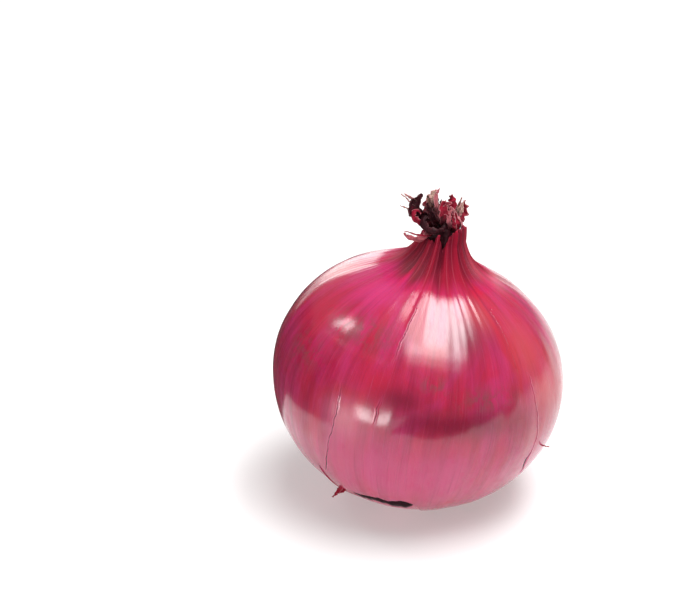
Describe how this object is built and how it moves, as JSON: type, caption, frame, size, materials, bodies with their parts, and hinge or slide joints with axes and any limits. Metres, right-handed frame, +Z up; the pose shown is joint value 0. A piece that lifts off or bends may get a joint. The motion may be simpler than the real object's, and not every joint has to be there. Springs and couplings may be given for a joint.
{
  "type": "red onion",
  "caption": "Whole unpeeled red onion with a pleated neck, a tuft of dried torn leaf strips and a dry root end, resting on its root end.",
  "frame": {"origin": "centre of the small flat spot round the root end that the bulb rests on", "axes": "+Z up from the root end, which points straight down; the crown and neck lean 8.5 degrees towards +X; -Y is the side the picture shows"},
  "size_m": [0.0803, 0.0794, 0.0922],
  "materials": {
    "skin": "glossy papery skin",
    "dry_leaf": "dry, matt, crinkled",
    "dry_root": "dry, matt, fibrous"
  },
  "bodies": {
    "root": {"bulb": "skin", "dry_neck": "dry_leaf", "root_tuft": "dry_root"}
  },
  "joints": []
}
